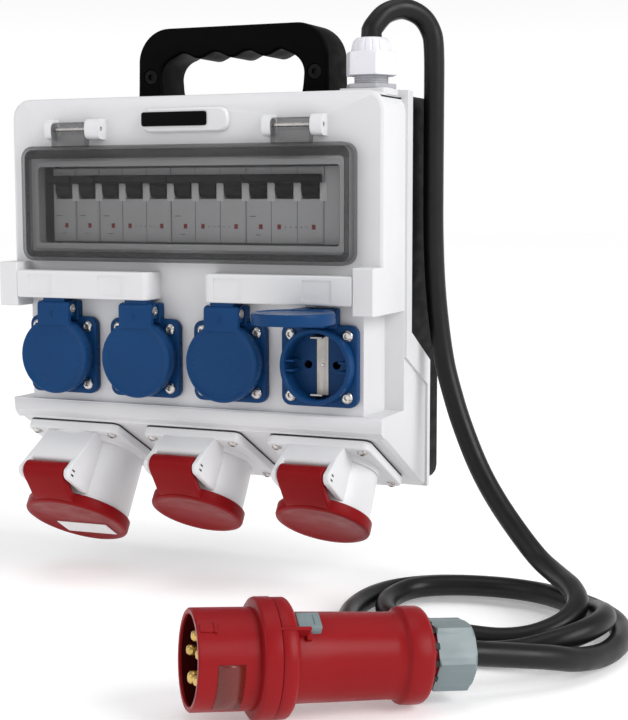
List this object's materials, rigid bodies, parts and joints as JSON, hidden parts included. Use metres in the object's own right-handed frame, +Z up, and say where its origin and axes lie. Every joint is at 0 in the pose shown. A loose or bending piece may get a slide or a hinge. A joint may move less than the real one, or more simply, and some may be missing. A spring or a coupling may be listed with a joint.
{
  "type": "portable power distribution box",
  "caption": "Carry-handled distribution box with a smoked window over breakers, round earthed outlets, red-lidded three-phase outlets and a coiled supply lead.",
  "frame": {"origin": "middle of the flat back face of the rear shell", "axes": "+Z up, -Y out of the front panel, +X to the viewer's right when facing the front"},
  "size_m": [0.4283, 0.3568, 0.3772],
  "materials": {
    "white_plastic": "light grey-white moulded plastic, satin",
    "black_plastic": "black moulded plastic, satin",
    "blue_plastic": "blue moulded plastic",
    "red_plastic": "signal red moulded plastic",
    "grey_plastic": "blue-grey moulded plastic",
    "light_grey_plastic": "light grey moulded plastic",
    "smoked_plastic": "smoked clear plastic",
    "black_rubber": "black rubber sheath, matt",
    "steel": "zinc plated or bright steel",
    "brass": "plain brass bar",
    "copper": "bare copper bar"
  },
  "bodies": {
    "case": {"front_shell": "white_plastic", "rear_shell": "black_plastic", "housing_gasket": "black_rubber", "window_hinge_pin_left": "steel", "window_hinge_pin_right": "steel", "breaker_1": "light_grey_plastic", "breaker_2": "light_grey_plastic", "breaker_3": "light_grey_plastic", "breaker_4": "light_grey_plastic", "breaker_5": "light_grey_plastic", "din_rail": "steel", "blank_filler": "light_grey_plastic", "busbar_comb": "copper", "neutral_bar": "brass", "earth_bar": "brass", "label_strip_left": "white_plastic", "label_strip_right": "white_plastic", "name_plate": "black_plastic", "schuko_socket_1": "blue_plastic", "schuko_socket_2": "blue_plastic", "schuko_socket_3": "blue_plastic", "schuko_socket_4": "blue_plastic", "schuko_hinge_pin_1": "steel", "schuko_hinge_pin_2": "steel", "schuko_hinge_pin_3": "steel", "schuko_hinge_pin_4": "steel", "schuko_earth_strap_1": "steel", "schuko_earth_strap_2": "steel", "schuko_earth_strap_3": "steel", "schuko_earth_strap_4": "steel", "cee_socket_1": "white_plastic", "cee_socket_2": "white_plastic", "cee_socket_3": "white_plastic", "cee_contact_carrier_1": "white_plastic", "cee_contact_carrier_2": "white_plastic", "cee_contact_carrier_3": "white_plastic", "carry_handle": "black_plastic", "handle_bolt_left": "steel", "handle_bolt_right": "steel", "gland_body": "light_grey_plastic", "gland_nut": "white_plastic", "supply_cable": "black_rubber", "plug_shroud": "red_plastic", "plug_housing": "red_plastic", "plug_contact_carrier": "black_plastic", "plug_clamp_nut": "grey_plastic"},
    "window_cover": {"window_cover": "smoked_plastic"},
    "breaker_lever_1": {"breaker_lever_1": "black_plastic"},
    "breaker_lever_2": {"breaker_lever_2": "black_plastic"},
    "breaker_lever_3": {"breaker_lever_3": "black_plastic"},
    "breaker_lever_4": {"breaker_lever_4": "black_plastic"},
    "breaker_lever_5": {"breaker_lever_5": "black_plastic"},
    "schuko_lid_1": {"schuko_lid_1": "blue_plastic"},
    "schuko_lid_2": {"schuko_lid_2": "blue_plastic"},
    "schuko_lid_3": {"schuko_lid_3": "blue_plastic"},
    "schuko_lid_4": {"schuko_lid_4": "blue_plastic"},
    "cee_lid_1": {"cee_lid_1": "red_plastic"},
    "cee_lid_2": {"cee_lid_2": "red_plastic"},
    "cee_lid_3": {"cee_lid_3": "red_plastic"},
    "plug_latch": {"plug_latch": "grey_plastic"}
  },
  "joints": [
    {"name": "window_cover_hinge", "type": "hinge", "parent": "case", "child": "window_cover", "pos_m": [0, -0.111, 0.1065], "axis": [-1, 0, 0], "range_deg": [0, 110]},
    {"name": "breaker_lever_1_pivot", "type": "hinge", "parent": "case", "child": "breaker_lever_1", "pos_m": [-0.09705, -0.0945, 0.068], "axis": [1, 0, 0], "range_deg": [0, 72]},
    {"name": "breaker_lever_2_pivot", "type": "hinge", "parent": "case", "child": "breaker_lever_2", "pos_m": [-0.07915, -0.0945, 0.068], "axis": [1, 0, 0], "range_deg": [0, 72]},
    {"name": "breaker_lever_3_pivot", "type": "hinge", "parent": "case", "child": "breaker_lever_3", "pos_m": [-0.04335, -0.0945, 0.068], "axis": [1, 0, 0], "range_deg": [0, 72]},
    {"name": "breaker_lever_4_pivot", "type": "hinge", "parent": "case", "child": "breaker_lever_4", "pos_m": [0.01035, -0.0945, 0.068], "axis": [1, 0, 0], "range_deg": [0, 72]},
    {"name": "breaker_lever_5_pivot", "type": "hinge", "parent": "case", "child": "breaker_lever_5", "pos_m": [0.06405, -0.0945, 0.068], "axis": [1, 0, 0], "range_deg": [0, 72]},
    {"name": "schuko_lid_1_hinge", "type": "hinge", "parent": "case", "child": "schuko_lid_1", "pos_m": [-0.0925, -0.118, -0.01], "axis": [-1, 0, 0], "range_deg": [0, 95]},
    {"name": "schuko_lid_2_hinge", "type": "hinge", "parent": "case", "child": "schuko_lid_2", "pos_m": [-0.0308, -0.118, -0.01], "axis": [-1, 0, 0], "range_deg": [0, 95]},
    {"name": "schuko_lid_3_hinge", "type": "hinge", "parent": "case", "child": "schuko_lid_3", "pos_m": [0.0308, -0.118, -0.01], "axis": [-1, 0, 0], "range_deg": [0, 95]},
    {"name": "schuko_lid_4_hinge", "type": "hinge", "parent": "case", "child": "schuko_lid_4", "pos_m": [0.0925, -0.118, -0.01], "axis": [-1, 0, 0], "range_deg": [-90, 5]},
    {"name": "cee_lid_1_hinge", "type": "hinge", "parent": "case", "child": "cee_lid_1", "pos_m": [-0.0895, -0.13718, -0.11515], "axis": [-1, 0, 0], "range_deg": [0, 100], "stiffness_Nm_per_rad": 0.03, "springref_deg": -57.3},
    {"name": "cee_lid_2_hinge", "type": "hinge", "parent": "case", "child": "cee_lid_2", "pos_m": [0, -0.12891, -0.10665], "axis": [-1, 0, 0], "range_deg": [0, 100], "stiffness_Nm_per_rad": 0.03, "springref_deg": -57.3},
    {"name": "cee_lid_3_hinge", "type": "hinge", "parent": "case", "child": "cee_lid_3", "pos_m": [0.0895, -0.12891, -0.10665], "axis": [-1, 0, 0], "range_deg": [0, 100], "stiffness_Nm_per_rad": 0.03, "springref_deg": -57.3},
    {"name": "plug_latch_slide", "type": "slide", "parent": "case", "child": "plug_latch", "axis": [0.7689, 0.6361, -0.0642], "range_m": [0, 0.0035]}
  ]
}
